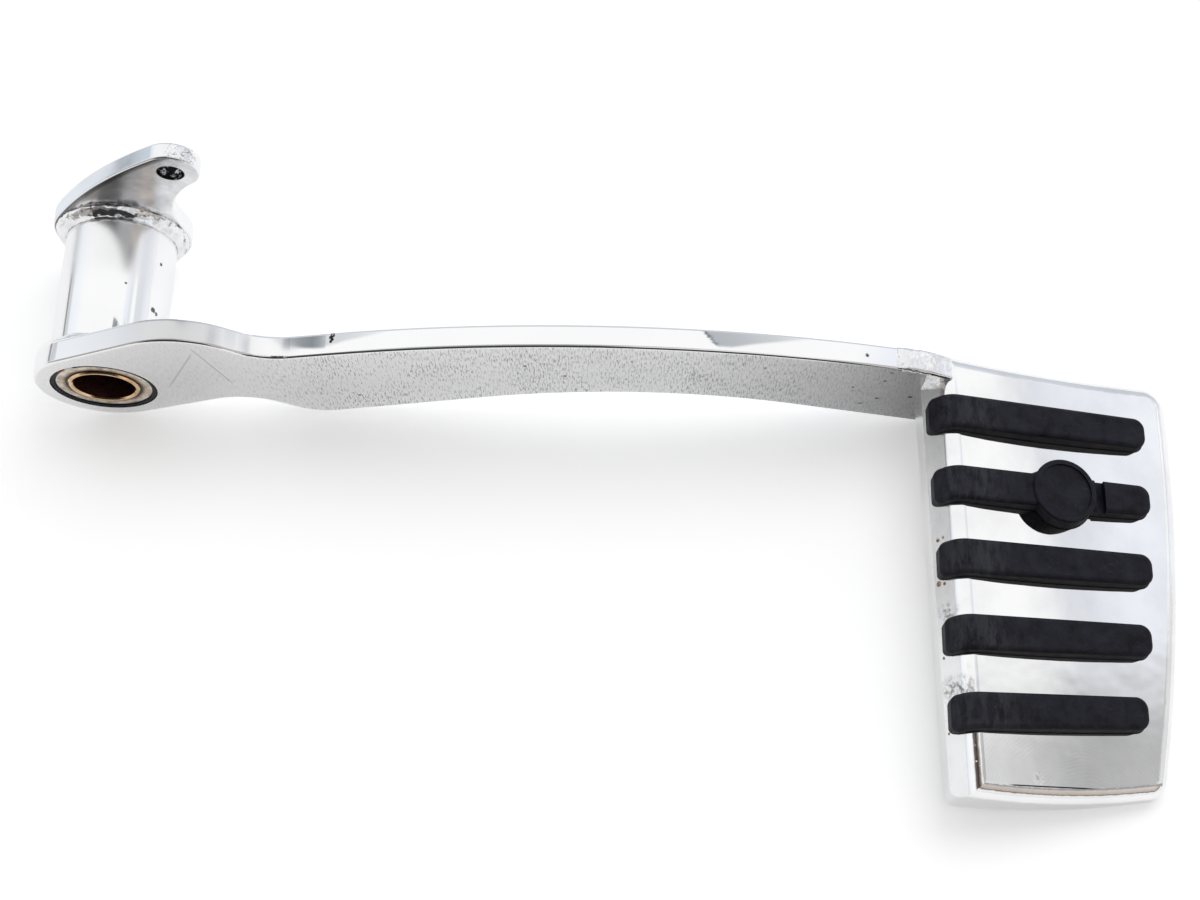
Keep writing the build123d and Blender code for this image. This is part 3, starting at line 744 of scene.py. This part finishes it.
def addSealFinish():
    spec = sealFinish
    material, tree, shader = startMaterial("sealRubber")
    place = objectPlace(tree)
    mottle = noise(tree, place, *spec["mottle"])
    colour = ramp(tree, mottle, shades(spec["tone"], spec["toneShares"]))
    rust = nearPoint(tree, place, spec["rustPlace"], spec["rustReach"])
    rust = times(tree, rust, ramp(tree, mottle, spec["rustTones"]))
    colour = mixColour(tree, rust, colour, spec["rustTone"])
    drop = nearPoint(tree, place, spec["dropPlace"], spec["dropReach"])
    colour = mixColour(tree, drop, colour, spec["dropTone"])
    relief = bump(tree, mottle, *spec["mottleRelief"])
    finishRubber(tree, shader, colour, ramp(tree, mottle, spec["rough"]), relief, spec["shine"])
    return material


# Pad shell: dished plated face with polishing swirls, a scar, and grime at the ribs' feet
padFinish = {
    "tone": (0.955, 0.957, 0.963), "cloudScale": 75.0, "cloudDim": 0.90,
    "roughLow": 0.02, "roughHigh": 0.07,
    "pitScale": 200.0, "pitSize": 0.045, "pitShare": 0.08,
    "rippleScale": 85.0, "rippleHeight": 0.07,
    "bevelTurn": (-0.55, -0.70), "bevelRough": 0.20,
    "faceTurn": (0.90, 0.93),
    "swirlCentre": (246.0, -112.0, 0.0),
    "swirl": {"Scale": 380.0, "Distortion": 9.0, "Detail": 3.0, "Detail Scale": 0.35},
    "swirlTones": [(0.1, 0.945), (0.7, 1.0)],
    "swirlShare": [(-105, 1.0), (-92, 0.8), (-86, 0.25), (-60, 0.08), (8, 0.0)],
    "swirlPatch": (110.0, 3.0), "swirlPatchTones": [(0.42, 0.1), (0.60, 1.0)],
    "scarPlace": (234.8, -99.1, 9.6), "scarReach": (0.8, 2.6), "scarTone": (0.13, 0.10, 0.09),
    "scarRelief": (0.7, 0.12), "torn": (1300.0, 3.0, 0.7), "tornTones": [(0.44, 1.0), (0.54, 0.0)],
    # the scratch key holds a painted dark reflection line where the dish meets the outboard roll
    "scratch": ((226.0, -101.3), (250.0, -100.5)),
    "scratchWidth": 0.22, "scratchTone": (0.05, 0.045, 0.045),
    "halos": [(214.5, -59.6, 10.1), (214.5, -78.4, 9.6), (216.5, -78.6, 12.05)],
    "haloReach": (0.8, 4.2), "haloTone": (0.26, 0.25, 0.24),
    "dust": (750.0, 4.0, 0.75), "dustTones": [(0.44, 0.0), (0.62, 0.9)],
    "rust": [(213.2, -40.9, 8.96, 0.6), (214.2, -40.6, 10.2, 0.4), (213.0, -52.0, 8.4, 0.8),
             (214.1, -52.3, 9.8, 0.5), (213.3, -70.6, 8.29, 0.4), (213.6, -89.0, 8.18, 0.35)],
    "rustGrain": (900.0, 2.0), "rustTones": [(0.4, (0.20, 0.11, 0.06)), (0.6, (0.36, 0.29, 0.15))],
    "dirtRough": 0.6,
}


def polishSwirls(tree, place, y, nz):
    # how much of the swirls shows, strongest outboard of the last rib, and their lines
    spec = padFinish
    shift = [-c * mm for c in spec["swirlCentre"]]
    centred = addNode(tree, "ShaderNodeMapping", values={"Location": shift})
    join(tree, place, (centred, "Vector"))
    rings = {"wave_type": "RINGS", "rings_direction": "Z"}
    swirl = addNode(tree, "ShaderNodeTexWave", rings, spec["swirl"])
    join(tree, (centred, "Vector"), (swirl, "Vector"))
    share = along(tree, y, endsOf(spec["swirlShare"]), spec["swirlShare"], mm)
    patches = ramp(tree, noise(tree, place, *spec["swirlPatch"]), spec["swirlPatchTones"])
    share = times(tree, share, patches, between(tree, nz, spec["faceTurn"]))
    return share, ramp(tree, (swirl, "Fac"), spec["swirlTones"])


def addPadFinish():
    spec = padFinish
    material, tree, shader = startMaterial("padPlating")
    place = objectPlace(tree)
    colour, rough, relief = plating(tree, place, spec)
    x, y, _ = axisParts(tree, place)
    nx, _, nz = facing(tree)
    rough = mixColour(tree, between(tree, nx, spec["bevelTurn"]), rough, grey(spec["bevelRough"]))
    share, lines = polishSwirls(tree, place, y, nz)
    colour = tinted(tree, share, colour, lines)
    # scar near the outboard edge, and a painted dark reflection line along the crease where the dish
    # meets the outboard roll
    torn = ramp(tree, noise(tree, place, *spec["torn"]), spec["tornTones"])
    scar = times(tree, nearPoint(tree, place, spec["scarPlace"], spec["scarReach"]), torn)
    colour = mixColour(tree, scar, colour, spec["scarTone"])
    relief = bump(tree, scar, *spec["scarRelief"], under=relief, sunk=True)
    scratch = scratched(tree, x, y, *spec["scratch"], spec["scratchWidth"])
    colour = mixColour(tree, scratch, colour, spec["scratchTone"])
    # grey dirt and rust on the bevel, beside the ribs' hooks
    dust = ramp(tree, noise(tree, place, *spec["dust"]), spec["dustTones"])
    halos = [nearPoint(tree, place, centre, spec["haloReach"]) for centre in spec["halos"]]
    halo = times(tree, greatest(tree, *halos), dust)
    colour = mixColour(tree, halo, colour, spec["haloTone"])
    rust = marks(tree, place, spec["rust"])
    brown = ramp(tree, noise(tree, place, *spec["rustGrain"]), spec["rustTones"])
    colour = mixColour(tree, rust, colour, brown)
    rough = mixColour(tree, greatest(tree, rust, halo, scar), rough, grey(spec["dirtRough"]))
    finishPlating(tree, shader, colour, rough, relief)
    return material


# Tread: blue-black moulded rubber, scuffed along the ribs, and lighter where they bend over the rear
# edge, from rubbed wear and a painted highlight
treadFinish = {
    "tone": (0.0115, 0.0116, 0.0175), "toneShares": [(0.30, 0.35), (0.70, 2.0)],
    "mottle": (240.0, 5.0, 0.7),
    "rough": [(0.3, 0.50), (0.7, 0.68)], "shine": 0.16,
    "scuff": (900.0, 4.0, 0.75), "scuffStretch": (0.25, 1.0, 1.0),
    "scuffTones": [(0.60, 0.0), (0.72, 0.5)], "scuffTone": (0.045, 0.045, 0.05),
    "dustScale": 900.0, "dustSize": 0.13, "dustShare": 0.05, "dustTone": (0.10, 0.095, 0.09),
    # where the ribs bend over the rear edge: rubbed wear with a painted highlight
    "bendSpan": (205, 240),
    "bend": [(212, 0.0), (215.5, 0.9), (219, 0.55), (224, 0.9), (230, 0.25), (238, 0.0)],
    "rubAndSheen": (300.0, 4.0, 0.7), "rubAndSheenStretch": (2.0, 0.6, 1.0),
    "rubAndSheenTones": [(0.42, 0.0), (0.60, 1.0)], "rubAndSheenTone": (0.042, 0.043, 0.050),
    "skin": (1700.0, 3.0, 0.6), "skinRelief": (0.35, 0.06),
    "wave": (160.0, 2.0), "waveRelief": (0.25, 0.25),
}


def addTreadFinish():
    spec = treadFinish
    material, tree, shader = startMaterial("treadRubber")
    place = objectPlace(tree)
    mottle = noise(tree, place, *spec["mottle"])
    colour = ramp(tree, mottle, shades(spec["tone"], spec["toneShares"]))
    scuff = noise(tree, stretched(tree, place, spec["scuffStretch"]), *spec["scuff"])
    colour = mixColour(tree, ramp(tree, scuff, spec["scuffTones"]), colour, spec["scuffTone"])
    dust = dots(tree, place, spec["dustScale"], spec["dustSize"], spec["dustShare"])
    colour = mixColour(tree, dust, colour, spec["dustTone"])
    x, _, _ = axisParts(tree, place)
    bend = along(tree, x, spec["bendSpan"], spec["bend"], mm)
    rubAndSheen = noise(tree, stretched(tree, place, spec["rubAndSheenStretch"]), *spec["rubAndSheen"])
    rubAndSheen = times(tree, bend, ramp(tree, rubAndSheen, spec["rubAndSheenTones"]))
    colour = mixColour(tree, rubAndSheen, colour, spec["rubAndSheenTone"])
    skin = bump(tree, noise(tree, place, *spec["skin"]), *spec["skinRelief"])
    relief = bump(tree, noise(tree, place, *spec["wave"]), *spec["waveRelief"], under=skin)
    finishRubber(tree, shader, colour, ramp(tree, mottle, spec["rough"]), relief, spec["shine"])
    return material


# Zinc on the retainer, screws and washers under the pad
zincFinish = {
    "spangle": (500.0, 3.0, 0.6), "spangleRelief": (0.15, 0.03),
    "tones": [(0.3, (0.42, 0.42, 0.40)), (0.7, (0.60, 0.60, 0.58))],
    "rough": [(0.3, 0.3), (0.7, 0.5)],
    "rust": (260.0, 5.0, 0.75), "rustTones": [(0.62, 0.0), (0.72, 0.7)], "rustTone": (0.22, 0.12, 0.06),
}


def addZincFinish():
    spec = zincFinish
    material, tree, shader = startMaterial("zincSteel")
    place = objectPlace(tree)
    spangle = noise(tree, place, *spec["spangle"])
    colour = ramp(tree, spangle, spec["tones"])
    rust = ramp(tree, noise(tree, place, *spec["rust"]), spec["rustTones"])
    colour = mixColour(tree, rust, colour, spec["rustTone"])
    relief = bump(tree, spangle, *spec["spangleRelief"])
    finishPlating(tree, shader, colour, ramp(tree, spangle, spec["rough"]), relief)
    return material


dress(addBarFinish(), "lever_bar")
dress(addTubeFinish(), "pivot_tube")
dress(addCrankFinish(), "crank_plate")
dress(addBushFinish(), "outer_bush", "inner_bush")
dress(addSealFinish(), "outer_seal", "inner_seal")
dress(addPadFinish(), "pad_shell")
dress(addTreadFinish(), "rubber_tread")
dress(addZincFinish(), "retainer_plate", "retainer_screws", "screw_washers")
print("plating, bronze, rubber and zinc assigned")


# Weld beads: lumpy, plated over, sizes in mm
beads = {
    "crank_weld": {
        "name": "crankBead", "voxel": 0.28,
        "lump": 3.0, "lumpHeight": 0.7, "grain": 1.2, "grainHeight": 0.05},
    "eye_weld": {
        "name": "eyeBead", "voxel": 0.28,
        "lump": 3.0, "lumpHeight": 0.5, "grain": 0.9, "grainHeight": 0.06},
    "pad_weld": {
        "name": "padBead", "voxel": 0.22,
        "lump": 2.2, "lumpHeight": 0.25, "grain": 0.8, "grainHeight": 0.05},
}
beadWork = {"doubles": 0.002, "middle": 0.5, "smoothing": 0.5, "passes": 2}
beadFinish = {
    "tone": (0.94, 0.94, 0.945), "cloudScale": 240.0, "cloudDim": 0.85,
    "roughLow": 0.06, "roughHigh": 0.18,
    "pitScale": 420.0, "pitSize": 0.08, "pitShare": 0.08,
    "rippleScale": 500.0, "rippleHeight": 0.05,
    "burntSpan": (41.6, 43.4), "burntTone": (0.13, 0.10, 0.085),
    "streak": (420.0, 4.0, 0.7), "streakStretch": (0.5, 1.6, 0.5),
    "streakTones": [(0.36, 1.0), (0.44, 0.0)],
}


def addBeadFinish():
    spec = beadFinish
    material, tree, shader = startMaterial("beadPlating")
    place = objectPlace(tree)
    colour, rough, relief = plating(tree, place, spec)
    # brown streaks where the crank's bead meets the plate
    _, y, _ = axisParts(tree, place)
    streaks = noise(tree, stretched(tree, place, spec["streakStretch"]), *spec["streak"])
    burnt = times(tree, ramp(tree, streaks, spec["streakTones"]), between(tree, y, spec["burntSpan"], mm))
    colour = mixColour(tree, burnt, colour, spec["burntTone"])
    finishPlating(tree, shader, colour, rough, relief)
    return material


def applyModifier(piece, kind, settings):
    modifier = piece.modifiers.new(kind.lower(), kind)
    for key, value in settings.items():
        setattr(modifier, key, value)
    bpy.ops.object.modifier_apply(modifier=modifier.name)


def reliefTexture(name, kind, size):
    texture = bpy.data.textures.new(name, kind)
    texture.noise_scale = size * mm
    return texture


def addBead(node, material):
    spec = beads[node]
    bpy.ops.object.select_all(action="DESELECT")
    piece = bpy.data.objects.new(spec["name"], cadNodes[node].data.copy())
    bpy.context.scene.collection.objects.link(piece)
    bpy.context.view_layer.objects.active = piece
    piece.select_set(True)
    bpy.ops.object.mode_set(mode="EDIT")
    bpy.ops.mesh.select_all(action="SELECT")
    bpy.ops.mesh.remove_doubles(threshold=beadWork["doubles"] * mm)
    bpy.ops.mesh.normals_make_consistent(inside=False)
    bpy.ops.object.mode_set(mode="OBJECT")
    applyModifier(piece, "REMESH", {"mode": "VOXEL", "voxel_size": spec["voxel"] * mm})
    for layer, kind in (("lump", "CLOUDS"), ("grain", "STUCCI")):
        texture = reliefTexture(spec["name"] + layer.capitalize(), kind, spec[layer])
        applyModifier(piece, "DISPLACE", {
            "texture": texture, "texture_coords": "LOCAL",
            "strength": spec[layer + "Height"] * mm, "mid_level": beadWork["middle"]})
    applyModifier(piece, "SMOOTH", {"factor": beadWork["smoothing"], "iterations": beadWork["passes"]})
    bpy.ops.object.shade_smooth()
    piece.data.materials.clear()
    piece.data.materials.append(material)
    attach(piece, "root")
    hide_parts(node)
    print(spec["name"], len(piece.data.polygons), "faces")


beadPlating = addBeadFinish()
for node in beads:
    addBead(node, beadPlating)
print("weld beads modelled")

bpy.context.scene.view_settings.view_transform = "Standard"
